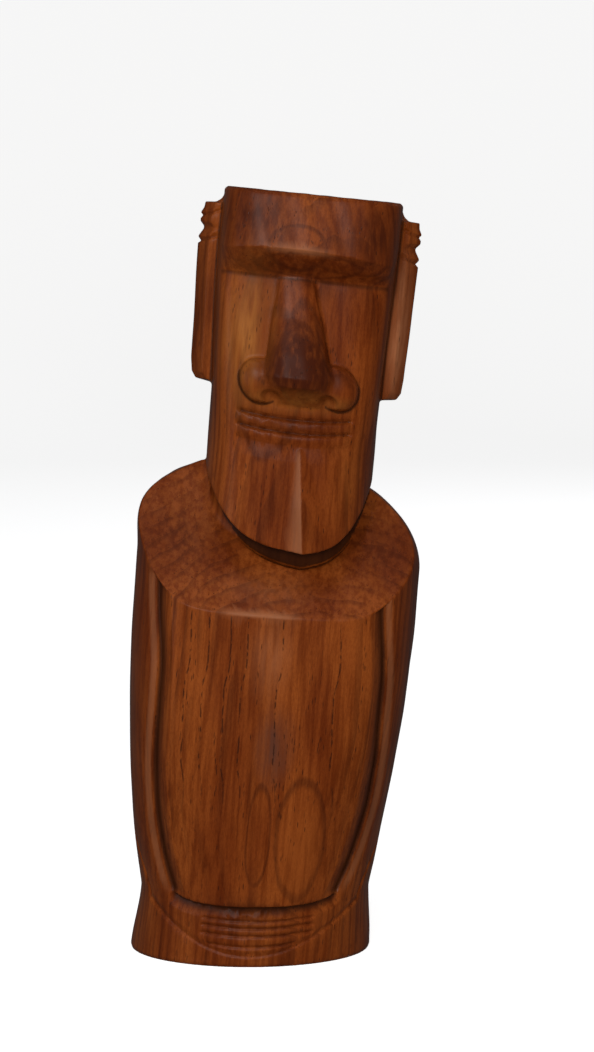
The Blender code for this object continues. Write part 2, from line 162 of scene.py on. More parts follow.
# How far each carved line slopes off on its one side and on its other, in metres
ARM_CUT_SIDES = (0.0060, 0.0008)
ARM_FACET_SIDES = (0.0010, 0.0030)
BELLY_CUT_SIDES = (0.0046, 0.0008)
ARC_CUT_SIDES = (0.0008, 0.0018)
ARM_BACK_CUT_SIDES = (0.0014, 0.0014)
FINGER_CUT_SIDES = (0.0008, 0.0010)
LIP_CUT_SIDES = (0.0010, 0.0014)
LOWER_LIP_CUT_SIDES = (0.0060, 0.0020)
PLUG_CUT_SIDES = (0.0010, 0.0016)
PLUG_TOP_CUT_SIDES = (0.0012, 0.0008)
LINE_END = 0.0012

# Fineness of the mesh
BODY_COLUMNS = 220
HEAD_COLUMNS = 180
NOSE_COLUMNS = 90
JAW_COLUMNS = 80
VOXEL = 0.0005
SOFTENING = 5
UNDERSIDE_SNAP = 0.0004
MOST_TRIANGLES = 190000

# The photograph's frame and the camera that took it
PHOTO_HEIGHT = 1052
FOCAL_PIXELS = 3283.0
CAMERA_PLACE = (0.0189, -1.296, 0.300)
CAMERA_TILT = math.radians(5.775)


def share(part_of_height):
    return part_of_height * HEIGHT


def ease(low, high, value):
    """0 below low, 1 above high, and a smooth step between them, for numbers and for arrays."""
    part = np.clip((value - low) / (high - low), 0.0, 1.0)
    return part * part * (3.0 - 2.0 * part)


def mix(first, second, part):
    return first + (second - first) * part


def between(stations, value):
    """The value's place along (value, result) pairs, with straight lines between them."""
    places, results = zip(*stations)
    return np.interp(value, places, results)


# Helpers that make and join objects


def object_from_bmesh(name, shape):
    bmesh.ops.recalc_face_normals(shape, faces=shape.faces)
    mesh = bpy.data.meshes.new(name)
    shape.to_mesh(mesh)
    shape.free()
    made = bpy.data.objects.new(name, mesh)
    bpy.context.scene.collection.objects.link(made)
    return made


def loft(name, rings, open_top=False):
    """A surface through rings of equally many points, closed by a flat cap at each end that isn't open."""
    shape = bmesh.new()
    levels = [[shape.verts.new(point) for point in ring] for ring in rings]
    columns = len(levels[0])
    for lower, upper in zip(levels, levels[1:]):
        for i in range(columns):
            j = (i + 1) % columns
            shape.faces.new((lower[i], lower[j], upper[j], upper[i]))
    shape.faces.new(list(reversed(levels[0])))
    if not open_top:
        shape.faces.new(levels[-1])
    return object_from_bmesh(name, shape)


def apply_modifiers(target):
    graph = bpy.context.evaluated_depsgraph_get()
    result = bpy.data.meshes.new_from_object(target.evaluated_get(graph))
    target.modifiers.clear()
    target.data = result


def subtract(target, cutter):
    cut = target.modifiers.new("cut", "BOOLEAN")
    cut.operation = "DIFFERENCE"
    cut.object = cutter
    apply_modifiers(target)
    bpy.data.objects.remove(cutter, do_unlink=True)


def join(name, pieces):
    """One object that holds the meshes of all the pieces."""
    shape = bmesh.new()
    for piece in pieces:
        shape.from_mesh(piece.data)
        bpy.data.objects.remove(piece, do_unlink=True)
    return object_from_bmesh(name, shape)


def superellipse(angle, power):
    """Points of a rounded square whose half sides are 1: power sets how square it is."""
    across = np.sign(np.cos(angle)) * np.abs(np.cos(angle)) ** (2.0 / power)
    along = np.sign(np.sin(angle)) * np.abs(np.sin(angle)) ** (2.0 / power)
    return across, along


def superellipse_ring(centre_x, half_width, front, back, height, power, columns):
    """Points round a level section whose front and back depths differ."""
    across, along = superellipse(2.0 * np.pi * np.arange(columns) / columns, power)
    depth = np.where(along > 0.0, back, front)
    return [(centre_x + half_width * a, d * b, height) for a, b, d in zip(across, along, depth)]


# The body


def chest_part(height):
    """0 at the hands, where the section is an oval, and 1 up the chest, whose front is flat."""
    return ease(share(0.10), share(0.35), height)


def body_centre(height):
    """The body's middle moves to the figure's right above the foot, and again at the shoulders."""
    drift = share(WAIST_DRIFT) * ease(share(0.06), share(0.20), height)
    shoulder = share(SHOULDER_DRIFT) * ease(share(0.52), share(0.61), height)
    return -drift - shoulder


def body_half_width(height):
    """Widest at the chest, narrow at the waist, and a little wider again at the foot."""
    waist = share(WAIST)
    foot = mix(BASE_WIDTH, WAIST_WIDTH, ease(0.0, waist, height)) / 2.0
    rise = np.clip((height - waist) / (share(CHEST_FULL) - waist), 0.0, 1.0)
    wide = mix(WAIST_WIDTH, CHEST_WIDTH, 1.0 - (1.0 - rise) ** 2) / 2.0
    turn = share(SHOULDER_TURN)
    over = np.clip((height - turn) / (share(SHOULDER_TOP) - turn), 0.0, 1.0)
    shoulder = mix(0.42 * JAW_WIDTH, wide, 1.0 - over**3.5)
    return np.where(height < waist, foot, np.where(height < turn, wide, shoulder))


def body_power(height):
    """Oval at the underside, and squarer at the chest."""
    return mix(BASE_SQUARENESS, CHEST_SQUARENESS, ease(0.0, share(0.40), height))


def body_front(height):
    belly = share(BELLY_FULLNESS) * np.sin(np.pi * np.minimum(1.0, height / share(CHEST_EDGE)))
    return BODY_FRONT * BODY_DEPTH + belly


def body_back():
    return BODY_BACK * BODY_DEPTH


def body_depth(along, height):
    """The chest's section bulges past its front plane, which cuts the bulge flat with soft edges."""
    bulge = mix(1.0, CHEST_BULGE, chest_part(height))
    soft = 0.9 * (bulge - 1.0) + 0.001
    reach = -along * bulge
    near = np.clip(0.5 + 0.5 * (1.0 - reach) / soft, 0.0, 1.0)
    front = -body_front(height) * (mix(1.0, reach, near) - soft * near * (1.0 - near))
    return np.where(along > 0.0, body_back() * along, front)


def body_ring(height):
    """A level section of the body, a little smaller at the underside's edge."""
    inset = 1.0 - UNDERSIDE_EDGE / BODY_DEPTH if height == 0.0 else 1.0
    angle = 2.0 * np.pi * np.arange(BODY_COLUMNS) / BODY_COLUMNS
    across, along = superellipse(angle, body_power(height))
    x = body_centre(height) + body_half_width(height) * across * inset
    y = body_depth(along, height) * inset
    rounding = share(CHEST_ROUNDING) * chest_part(height) * across**2
    y = np.where(y < 0.0, y + rounding, y)
    return [(a, b, height) for a, b in zip(x, y)]


def cut_plane(target, point, normal):
    """Cuts away what lies on the side that the normal points to, and closes the cut."""
    shape = bmesh.new()
    shape.from_mesh(target.data)
    geometry = shape.verts[:] + shape.edges[:] + shape.faces[:]
    cut = bmesh.ops.bisect_plane(shape, geom=geometry, plane_co=point, plane_no=normal, clear_outer=True)
    edges = [item for item in cut["geom_cut"] if isinstance(item, bmesh.types.BMEdge)]
    bmesh.ops.edgeloop_fill(shape, edges=edges)
    bmesh.ops.recalc_face_normals(shape, faces=shape.faces)
    shape.to_mesh(target.data)
    shape.free()


def make_body():
    """The lofted body, with a flat slope from the chest's edge up to the shoulders, and one behind."""
    heights = [0.0, UNDERSIDE_EDGE] + list(np.linspace(share(0.01), share(SHOULDER_TOP), 130))
    body = loft("body", [body_ring(float(height)) for height in heights])
    ridge = Vector((0.0, share(RIDGE_SETBACK), share(SHOULDER_TOP)))
    front_edge = Vector((0.0, -float(body_front(share(CHEST_EDGE))), share(CHEST_EDGE)))
    slope = ridge - front_edge
    cut_plane(body, front_edge, Vector((0.0, -slope.z, slope.y)))
    back_edge = Vector((0.0, body_back(), share(SHOULDER_BACK)))
    slope = back_edge - ridge
    cut_plane(body, back_edge, Vector((0.0, -slope.z, slope.y)))
    return body


# The head


def face_middle(height):
    """Where the line of nose, mouth and chin is: in the leaning carving it stands almost upright."""
    part = (height - share(CHIN)) / (share(UNDER_BROW) - share(CHIN))
    return share(mix(FACE_MIDDLE_AT_CHIN, FACE_MIDDLE_AT_BROW, part))


def head_half_width(height):
    return mix(JAW_WIDTH, CROWN_WIDTH, ease(share(0.72), share(0.95), height)) / 2.0


def head_centre(height):
    return share(CROWN_DRIFT) * ease(share(0.85), HEIGHT, height)


def brow_front():
    return BROW_FRONT * HEAD_DEPTH


def cheek_front(height):
    """The flat of the face runs forward from under the brow down to the chin."""
    under = brow_front() - BROW_OVERHANG
    chin = CHIN_FRONT * HEAD_DEPTH
    part = (share(UNDER_BROW) - height) / (share(UNDER_BROW) - share(CHIN))
    return mix(under, chin, np.clip(part, 0.0, 1.0) ** 0.8)


def head_power(height):
    return mix(JAW_SQUARENESS, CHEEK_SQUARENESS, ease(share(0.66), share(0.82), height))


def head_sections():
    """(height, front depth, squareness of the section) from the jaw to the crown."""
    crown_front = brow_front() - share(FOREHEAD_SLANT)
    crown_edge = share(CROWN_EDGE)
    sections = []
    for part in np.linspace(0.50, UNDER_BROW, 40):
        height = share(part)
        sections.append((height, float(cheek_front(height)), float(head_power(height))))
    forehead = (
        (share(BROW_EDGE), brow_front()),
        (share(0.965), mix(brow_front(), crown_front, 0.52)),
        (HEIGHT - crown_edge, crown_front),
        (HEIGHT, crown_front - crown_edge),
    )
    for height, front in forehead:
        sections.append((height, front, FOREHEAD_SQUARENESS))
    return sections


def jaw_line(x):
    """The height of the jaw's lower edge: lowest at the chin, and steep at the sides."""
    chin_x = face_middle(share(CHIN))
    side = JAW_WIDTH / 2.0
    run = np.where(x > chin_x, (x - chin_x) / (side - chin_x), (chin_x - x) / (side + chin_x))
    rise = share(JAW_CORNER) - share(CHIN)
    return share(CHIN) + rise * (0.2 * run + 0.8 * run**4)


def jaw_middle(x):
    """1 at the chin and 0 at the jaw's sides."""
    chin_x = face_middle(share(CHIN))
    spread = np.clip(np.abs(x - chin_x) / (JAW_WIDTH / 2.0 + abs(chin_x)), 0.0, 1.0)
    return 1.0 - spread**2


def jaw_path(reach, gap):
    """(x, z) along the jaw's edge, lowered by the gap at the chin and by nothing at the sides."""
    x = np.linspace(-reach, reach, JAW_COLUMNS + 1)
    return list(zip(x, jaw_line(x) - gap * jaw_middle(x)))


def upright_plate(name, outline, front, back):
    """A solid with the outline of (x, z) points, from one y to another."""
    return loft(name, [[(x, y, z) for x, z in outline] for y in (front, back)])


def make_head_block():
    rings = []
    back = HEAD_BACK * HEAD_DEPTH
    for height, front, power in head_sections():
        inset = share(CROWN_EDGE) if height == HEIGHT else 0.0
        half_width = float(head_half_width(height)) - inset
        centre = float(head_centre(height))
        ring = superellipse_ring(centre, half_width, front, back - inset, height, power, HEAD_COLUMNS)
        rings.append(ring)
    return loft("head", rings)


def below_jaw():
    reach = JAW_WIDTH / 2.0 + share(0.010)
    floor = share(NECK_FOOT)
    outline = [(-reach, floor)] + jaw_path(reach, 0.0) + [(reach, floor)]
    return upright_plate("below_jaw", outline, -HEAD_DEPTH, HEAD_DEPTH)


def make_neck():
    """The neck stands back under the jaw and runs into the shoulders."""
    half_width = 0.46 * JAW_WIDTH
    front = NECK_FRONT * HEAD_DEPTH
    back = NECK_BACK * HEAD_DEPTH
    rings = []
    for end in (share(NECK_FOOT), share(NECK_TOP)):
        ring = superellipse_ring(0.0, half_width, front, back, end, NECK_SQUARENESS, HEAD_COLUMNS)
        rings.append(ring)
    return loft("neck", rings)


def make_neck_hollow():
    """The hollow that is cut into the shoulders all along under the jaw, down to the neck."""
    reach = JAW_WIDTH / 2.0 - share(0.004)
    lid = share(JAW_CORNER)
    outline = jaw_path(reach, share(NECK_GAP)) + [(reach, lid), (-reach, lid)]
    return upright_plate("neck_hollow", outline, -HEAD_DEPTH, -0.20 * HEAD_DEPTH)


# The face


def nose_half_width(height):
    widths = (
        (NOSE_FOOT, NOSE_FOOT_HALF_WIDTH),
        (NOSE_TIP, NOSE_TIP_HALF_WIDTH),
        (NOSE_RIDGE_LOW, 0.0400),
        (NOSE_RIDGE_HIGH, 0.0330),
        (NOSE_TOP, NOSE_TOP_HALF_WIDTH),
    )
    return share(between(widths, height / HEIGHT))


def nose_wedge(across, height):
    """How far the nose stands out of the face: most at its tip, and turned in again below it."""
    rises = (
        (NOSE_FOOT, 0.0),
        (NOSE_TIP - 0.012, 0.93),
        (NOSE_TIP, 1.0),
        (NOSE_RIDGE_LOW, 0.80),
        (NOSE_RIDGE_HIGH, 0.42),
        (NOSE_TOP, 0.1),
    )
    side = np.minimum(1.0, np.abs(across) / nose_half_width(height))
    return NOSE_REACH * between(rises, height / HEIGHT) * (1.0 - side**2.5) ** 0.4


def wing_outline(height):
    """How far a wing's round outline reaches to each side of the wing's middle at this height, or 0."""
    level = (height - share(NOSTRIL)) / share(WING_HALF_HEIGHT)
    return share(WING_HALF_WIDTH) * math.sqrt(max(0.0, 1.0 - level**2))


def nose_wing(across, height):
    """How far the round wings of the nostrils stand out on both sides."""
    level = (height - share(NOSTRIL)) / share(WING_HALF_HEIGHT)
    side = (np.abs(across) - share(WING_PLACE)) / share(WING_HALF_WIDTH)
    return WING_REACH * np.maximum(0.0, 1.0 - side**2 - level**2) ** 0.35


def nostril(across, height):
    """How deep the small scoop under each wing is."""
    level = (height - share(NOSTRIL - 0.018)) / share(0.009)
    side = (np.abs(across) - share(0.037)) / share(0.013)
    return share(0.009) * np.maximum(0.0, 1.0 - side**2 - level**2)


def nose_relief(across, height):
    """The wedge and the wings run into each other in a soft hollow."""
    wedge = nose_wedge(across, height)
    wing = nose_wing(across, height)
    softness = share(0.014)
    near = np.maximum(0.0, 1.0 - np.abs(wedge - wing) / softness)
    fillet = np.where((wing > 0.0) & (wedge > 0.0), softness * near**2 / 4.0, 0.0)
    return np.maximum(0.0, np.maximum(wedge, wing) + fillet - nostril(across, height))


def nose_ring(height):
    """A level section of the nose: its front follows the relief, and its back is inside the head."""
    narrowing = ease(share(NOSE_TIP), share(NOSE_TOP), height)
    wedge = share(float(mix(NOSE_TIP_HALF_WIDTH, NOSE_TOP_HALF_WIDTH, narrowing)))
    wing = wing_outline(height)
    reach = max(wedge, share(WING_PLACE) + wing if wing > 0.0 else 0.0)
    middle = face_middle(height)
    face = -float(cheek_front(height)) + share(0.002)
    root = -float(cheek_front(height)) + share(0.012)
    across = -reach * np.cos(np.pi * np.arange(NOSE_COLUMNS + 1) / NOSE_COLUMNS)
    depth = face - nose_relief(across, height)
    front = [(middle + a, b, height) for a, b in zip(across, depth)]
    return [(middle + reach, root, height), (middle - reach, root, height)] + front


def make_nose():
    """The wide foot with its wings, the tip, and the ridge that narrows to the brow."""
    parts = np.concatenate([np.linspace(NOSE_FOOT, 0.80, 60), np.linspace(0.803, NOSE_TOP, 40)])
    return loft("nose", [nose_ring(share(float(part))) for part in parts])


def make_chin_keel():
    """The ridge down the middle of the chin: narrow and steep on its right, and wide on its left."""
    rings = []
    # Height, reach to the right and to the left, and how far the ridge stands out
    stations = (
        (NECK_FOOT, 0.028, 0.060, 1.0),
        (0.60, 0.017, 0.034, 0.72),
        (KEEL_TOP, 0.006, 0.014, 0.15),
    )
    for part, right, left, rise in stations:
        height = share(part)
        x = face_middle(height)
        front = -float(cheek_front(height)) + share(0.003)
        tip = front - share(0.003) - CHIN_REACH * rise
        root = front + share(0.02)
        outline = (
            (x - share(right), root),
            (x + share(left), root),
            (x + share(left), front),
            (x, tip),
            (x - share(right), front),
        )
        rings.append([(along, depth, height) for along, depth in outline])
    return loft("chin_keel", rings)


# The ears


def ear_profile():
    """(height, reach to the side) up the ear: foot, lobe, notch, plug, flat top and hollow above it."""
    return (
        (EAR_FOOT, 0.50),
        (EAR_FOOT + 0.003, 0.78),
        (EAR_FOOT + 0.012, 0.88),
        (EAR_FOOT + 0.030, 0.92),
        (EAR_NOTCH - 0.012, 1.0),
        (EAR_NOTCH, 0.88),
        (EAR_NOTCH + 0.007, 0.99),
        (EAR_NOTCH + 0.020, 0.99),
        (EAR_CROWN - 0.008, 0.93),
        (EAR_CROWN, 0.92),
        (EAR_CROWN + 0.001, 0.68),
        (EAR_CROWN + 0.006, 0.57),
        (EAR_CROWN + 0.015, 0.50),
    )


def make_ear(side):
    """A long lobe against the head's side, with a flat front and a cut-off outer corner."""
    outer = EAR_SPAN / 2.0
    inner = float(head_half_width(HEIGHT)) - share(0.03)
    rings = []
    for part, reach in ear_profile():
        height = share(part)
        edge = mix(inner, outer, reach)
        corner = mix(inner, outer, max(0.0, reach - 0.26))
        front = -0.62 * EAR_LENGTH * mix(0.85, 1.0, reach)
        outline = (
            (inner, front),
            (corner, front),
            (edge, front + 0.22 * EAR_LENGTH),
            (edge, 0.38 * EAR_LENGTH),
            (inner, 0.38 * EAR_LENGTH),
        )
        centre = float(head_centre(height))
        rings.append([(centre + side * x, y, height) for x, y in outline])
    return loft("ear", rings)


# Carving of the fused mesh


def cut_profile(distance, sides):
    """1 on the line, falling to 0 at one distance before it and at another behind it."""
    before, behind = sides
    away = np.where(distance < 0.0, -distance / before, distance / behind)
    return np.clip(1.0 - away, 0.0, 1.0)


def window(value, low, high, soft):
    """1 between low and high, with soft ends."""
    return ease(low - soft, low + soft, value) * (1.0 - ease(high - soft, high + soft, value))


def arm_edge(height):
    """How far the front edge of each arm is from the middle: it turns in to the wrist at the bottom."""
    low = share(ARM_GROOVE_LOW)
    turn = np.clip(1.0 - (height - low) / (share(ARM_CURVE_TOP) - low), 0.0, 1.0)
    return 0.40 * CHEST_WIDTH - share(0.040) * turn**2.2


def arm_middle(height):
    """The middle between the arms, which follows the shoulders to the figure's right."""
    return -share(ARM_DRIFT) * ease(share(0.37), share(0.50), height)


def arm_cut(x, z):
    """A wide slope on the chest's side, a steep step, and a narrow facet on the arm's side."""
    across = np.abs(x - arm_middle(z)) - arm_edge(z)
    along = window(z, share(ARM_GROOVE_LOW), share(ARM_TOP), share(0.008))
    facet = 0.4 * cut_profile(across - 0.0004, ARM_FACET_SIDES)
    return ARM_GROOVE * np.maximum(cut_profile(across + 0.0003, ARM_CUT_SIDES), facet) * along


def belly_cut(x, z):
    """The belly overhangs the hands, which are cut back below its edge."""
    reach = float(arm_edge(share(ARM_GROOVE_LOW)))
    edge = z - share(BELLY_EDGE) - share(0.013) * np.clip(np.abs(x) / reach, 0.0, 1.2) ** 4
    return BELLY_GROOVE * cut_profile(edge, BELLY_CUT_SIDES) * window(x, -reach, reach, LINE_END)


def hand_arc_cut(x, z):
    """The arc below the hands, from wrist to wrist."""
    half = HAND_ARC_REACH * BASE_WIDTH
    rise = share(HAND_ARC_HIGH - HAND_ARC_LOW)
    arc = z - share(HAND_ARC_LOW) - rise * (x / half) ** 2
    steep = np.sqrt(1.0 + (2.0 * rise * x / half**2) ** 2)
    return ARC_GROOVE * cut_profile(arc / steep, ARC_CUT_SIDES) * window(x, -half, half, 0.001)


def arm_back_cut(x, y, z):
    """The line behind each arm, from the end of the hands' arc up to the shoulder."""
    power = body_power(z)
    across = np.clip(np.abs(x - body_centre(z)) / body_half_width(z), 0.0, 1.0) ** (power / 2.0)
    along = np.clip(np.abs(y) / body_back(), 0.0, 1.0) ** (power / 2.0)
    angle = np.arctan2(np.sign(y) * along, across)
    part = (z - share(HAND_ARC_HIGH)) / share(ARM_TOP - HAND_ARC_HIGH)
    line = mix(ARM_BACK_LOW, ARM_BACK_HIGH, ease(0.0, 0.45, part))
    across_line = (angle - line) * 0.5 * BODY_DEPTH
    return ARC_GROOVE * cut_profile(across_line, ARM_BACK_CUT_SIDES) * window(part, 0.0, 1.0, 0.01)


def finger_cut(x, z):
    """The lines between the fingers, and the dent where the fingertips meet."""
    depth = np.zeros_like(x)
    for part in FINGER_LINES:
        rise = (part - HAND_ARC_LOW) / (HAND_ARC_HIGH - HAND_ARC_LOW)
        limit = HAND_ARC_REACH * BASE_WIDTH * math.sqrt(rise) - share(0.010)
        start = -min(share(FINGERS_RIGHT), limit)
        end = min(share(FINGERS_LEFT), limit)
        sag = np.sin(np.pi * np.clip((x - start) / (end - start), 0.0, 1.0))
        line = z - share(part) + share(0.004) * sag
        cut = FINGER_GROOVE * cut_profile(line, FINGER_CUT_SIDES) * window(x, start, end, LINE_END)
        depth = np.maximum(depth, cut)
    dent_x = (x - share(DENT_PLACE[0])) / share(DENT_RADII[0])
    dent_z = (z - share(DENT_PLACE[1])) / share(DENT_RADII[1])
    dent = np.clip(1.0 - dent_x**2 - dent_z**2, 0.0, 1.0) ** 2
    return depth + 0.8 * FINGER_GROOVE * dent


def lip_cut(x, z):
    """Two lines across the mouth, and a soft step under the lower lip."""
    across = x - share(0.002)
    reach = share(LIP_HALF_WIDTH)
    bow = share(0.005) * (across / reach) ** 2
    extent = window(across, -reach, reach, LINE_END)
    depth = np.zeros_like(x)
    for part in LIP_LINES:
        line = cut_profile(z - share(part) - bow, LIP_CUT_SIDES)
        depth = np.maximum(depth, LIP_GROOVE * line * extent)
    under = cut_profile(z - share(LOWER_LIP) - bow, LOWER_LIP_CUT_SIDES)
    return np.maximum(depth, 0.5 * LIP_GROOVE * under * extent)


def ear_cut(x, y, z):
    """The slanting cut under each ear's plug, and the one above it."""
    away = np.abs(x - head_centre(z)) - head_half_width(z)
    beside = (away > 0.0004) & (y > -0.70 * EAR_LENGTH) & (y < 0.42 * EAR_LENGTH)
    level = z + 0.35 * away
    under = EAR_GROOVE * cut_profile(level - share(EAR_NOTCH - 0.009), PLUG_CUT_SIDES)
    over = 0.8 * EAR_GROOVE * cut_profile(level - share(EAR_CROWN - 0.009), PLUG_TOP_CUT_SIDES)
    return np.maximum(under, over) * beside


def tool_marks(points):
    """The low waves that a knife and sandpaper leave, with no wave the same as another."""
    x, y, z = points.T * 1000.0
    marks = 0.10 * np.sin(0.31 * x + 0.11 * z + 0.9) * np.sin(0.073 * z - 0.21 * y + 0.4)
    marks += 0.07 * np.sin(0.17 * x - 0.29 * y + 0.19 * z) * np.sin(0.11 * x + 0.051 * z + 2.0)
    marks += 0.04 * np.sin(0.71 * x + 0.37 * y + 0.13 * z + 1.1)
    return (marks + 0.21) / 1000.0


def facing_front(points, normals):
    """1 where the surface faces the front, and 0 on the shoulders, the sides and the back."""
    forward = ease(0.03, 0.30, -normals[:, 1])
    upward = ease(0.25, 0.45, normals[:, 2])
    return forward * (1.0 - upward) * (points[:, 1] < 0.0)


def carve_depth(points, normals):
    """How deep the carving goes in at each point, in metres, without the tool marks."""
    x, y, z = points.T
    front = facing_front(points, normals)
    below_chest = z < share(ARM_TOP)
    body = np.maximum.reduce([arm_cut(x, z), belly_cut(x, z), hand_arc_cut(x, z) * (z < share(0.11))])
    body = np.maximum(body, finger_cut(x, z)) * front
    body = np.maximum(body, arm_back_cut(x, y, z) * (np.abs(normals[:, 0]) > 0.4)) * below_chest
    mouth = window(z, share(0.63), share(0.722), 0.0005) * (np.abs(x) < 0.92 * head_half_width(z))
    return np.maximum.reduce([body, lip_cut(x, z) * front * mouth, ear_cut(x, y, z)])


def on_face(y):
    """True in the front part of the head, where only the face is."""
    return y < -0.3 * HEAD_DEPTH


def under_jaw(x, y, z):
    """Painted shadow in the hollow between the jaw and the shoulders."""
    depth = share(NECK_GAP) * jaw_middle(x)
    hollow = window(z - jaw_line(x), 0.0004 - depth, 0.0003, 0.0004) * ease(-0.036, -0.031, y)
    return hollow * (y < 0.0) * (np.abs(x) < JAW_WIDTH / 2.0)


def round_wings(x, y, z):
    """Painted shade along the rim of each wing of the nose, which fades towards its top."""
    across = np.abs(x - face_middle(z))
    side = (across - share(WING_PLACE)) / share(WING_HALF_WIDTH)
    level = (z - share(NOSTRIL)) / share(WING_HALF_HEIGHT)
    rim = window(np.sqrt(side**2 + level**2), 0.98, 1.10, 0.05) * (nose_wedge(across, z) <= 0.0)
    return rim * on_face(y) * (1.0 - 0.8 * ease(0.0, 0.8, level))


def face_creases(x, y, z):
    """Painted shade in the corners between the nose and the cheeks, and between the cheeks and the brow."""
    beside_nose = np.abs(x - face_middle(z)) - nose_half_width(z)
    foot = window(beside_nose, -0.0003, 0.0007, 0.0004)
    foot *= window(z, share(NOSE_TIP), share(UNDER_BROW - 0.006), 0.004)
    brow_low = share(UNDER_BROW - 0.0045)
    brow_high = share(UNDER_BROW + 0.0015)
    eye = window(z, brow_low, brow_high, 0.0006) * (np.abs(x) < 0.94 * head_half_width(z))
    return np.maximum(0.4 * foot, 0.6 * eye) * on_face(y) * (y > -0.6 * HEAD_DEPTH)


def behind_cheeks(x, y, z, normals):
    """Painted shade in the corners where the ears meet the head."""
    beside = np.abs(x - head_centre(z)) - head_half_width(z)
    corner = window(beside, -0.0004, 0.0009, 0.0004) * (z > share(EAR_FOOT)) * (y < 0.0)
    return corner * ease(0.2, 0.6, -normals[:, 1])


def shaded_places(points, normals):
    """1 where shade is painted: under the jaw and the brow, beside the ears, and round the nose."""
    x, y, z = points.T
    rims = np.maximum(0.8 * round_wings(x, y, z), 0.8 * behind_cheeks(x, y, z, normals))
    return np.maximum.reduce([under_jaw(x, y, z), rims, face_creases(x, y, z)])


def arm_facet_highlight(x, z):
    """A painted highlight on the narrow facet along each arm's front edge."""
    across = np.abs(x - arm_middle(z)) - arm_edge(z)
    return window(across, 0.0006, 0.0026, 0.0003) * window(z, share(0.10), share(0.50), 0.004)


def keel_highlight(x, z):
    """A painted highlight on the steep right side of the chin's ridge."""
    rise = (z - share(CHIN)) / share(KEEL_TOP - CHIN)
    beside = (face_middle(z) - x) / mix(share(0.028), share(0.006), rise)
    along = window(z, share(CHIN), share(KEEL_TOP - 0.002), 0.002)
    return ease(-0.04, 0.06, beside) * (1.0 - ease(0.15, 1.0, beside)) * along


def edge_highlights(x, z):
    """Painted highlights on the middles of the chest's upper edge and of the brow's edge."""
    chest_edge = share(CHEST_EDGE)
    chest = window(z, chest_edge - 0.0008, chest_edge + 0.0012, 0.0007)
    chest *= window(x, -0.020, 0.006, 0.006)
    brow_edge = share(BROW_EDGE)
    brow = window(z, brow_edge - 0.0014, brow_edge + 0.0010, 0.0008)
    brow *= window(x, -0.012, 0.006, 0.008)
    return np.maximum(chest, brow)


def painted_highlight_places(points, normals):
    """1 where a highlight is painted: the arms, the chin's ridge, the chest and the brow."""
    x, y, z = points.T
    arms = 0.6 * arm_facet_highlight(x, z) * facing_front(points, normals)
    far_front = y < -0.5 * brow_front()
    return np.maximum(arms, np.maximum(keel_highlight(x, z), edge_highlights(x, z)) * far_front)


def arch_brow(points):
    """Lowers the brow's edge towards both ends."""
    x, y, z = points.T
    near = window(z, share(0.905), share(0.945), share(0.012)) * ease(0.55, 0.85, -y / brow_front())
    across = np.abs(x - share(FACE_MIDDLE_AT_BROW)) / (JAW_WIDTH / 2.0)
    points[:, 2] -= share(0.008) * np.clip(across, 0.0, 1.1) ** 2 * near


def read_array(mesh_items, name, width):
    values = np.empty(len(mesh_items) * width, np.float32)
    mesh_items.foreach_get(name, values)
    return values.reshape(-1, width).astype(np.float64)


def remesh(target):
    """Fuses the joined parts into one skin and softens its edges."""
    fuse = target.modifiers.new("fuse", "REMESH")
    fuse.mode = "VOXEL"
    fuse.voxel_size = VOXEL
    fuse.use_smooth_shade = True
    soften = target.modifiers.new("soften", "SMOOTH")
    soften.factor = 0.5
    soften.iterations = SOFTENING
    apply_modifiers(target)


def carve(target):
    """Moves the points in along their normals, and keeps where the wood has dirt in its carved lines,
    painted shade and painted highlights.
    """
    mesh = target.data
    points = read_array(mesh.vertices, "co", 3)
    normals = read_array(mesh.vertices, "normal", 3)
    depth = carve_depth(points, normals)
    # Dirt in the carved lines, by their depth, joined with painted shade in the hollows and creases
    shade = np.maximum(np.clip(depth / DEEPEST_GROOVE, 0.0, 1.0), shaded_places(points, normals))
    # Painted highlights on edges and facets that face the light
    painted_highlight = painted_highlight_places(points, normals)
    above_floor = ease(0.0005, 0.003, points[:, 2])
    points -= normals * (depth + tool_marks(points) * above_floor)[:, None]
    arch_brow(points)
    points[:, 2] = np.where(points[:, 2] < UNDERSIDE_SNAP, 0.0, points[:, 2])
    mesh.vertices.foreach_set("co", points.astype(np.float32).ravel())
    # Stored for the wood: dirt with painted shade, and painted highlights
    for name, values in (("shade_and_dirt", shade), ("painted_highlight", painted_highlight)):
        layer = mesh.attributes.new(name, "FLOAT", "POINT")
        layer.data.foreach_set("value", values.astype(np.float32))
    mesh.update()


def thin_out(target):
    """Brings the mesh under the most triangles that it may have."""
    triangles = sum(len(face.vertices) - 2 for face in target.data.polygons)
    if triangles <= MOST_TRIANGLES:
        return
    thin = target.modifiers.new("thin_out", "DECIMATE")
    thin.ratio = MOST_TRIANGLES / triangles
    apply_modifiers(target)


def roll_at(height):
    """How far each level is tipped: the head more than the body, and the crown a little less again."""
    body = BODY_ROLL * ease(0.0, share(0.43), height)
    head = (HEAD_ROLL - BODY_ROLL) * ease(share(0.56), share(0.70), height)
    crown = (HEAD_ROLL - CROWN_ROLL) * ease(share(0.90), HEIGHT, height)
    return body + head - crown


def lean_over(target):
    """Tips each level of the upright carving over to the figure's left, the higher the further."""
    mesh = target.data
    points = read_array(mesh.vertices, "co", 3)
    x, y, z = points.T
    roll = roll_at(z)
    leaned = np.stack([x * np.cos(roll) + z * math.tan(LEAN), y, z - x * np.sin(roll)], axis=1)
    mesh.vertices.foreach_set("co", leaned.astype(np.float32).ravel())
    mesh.update()


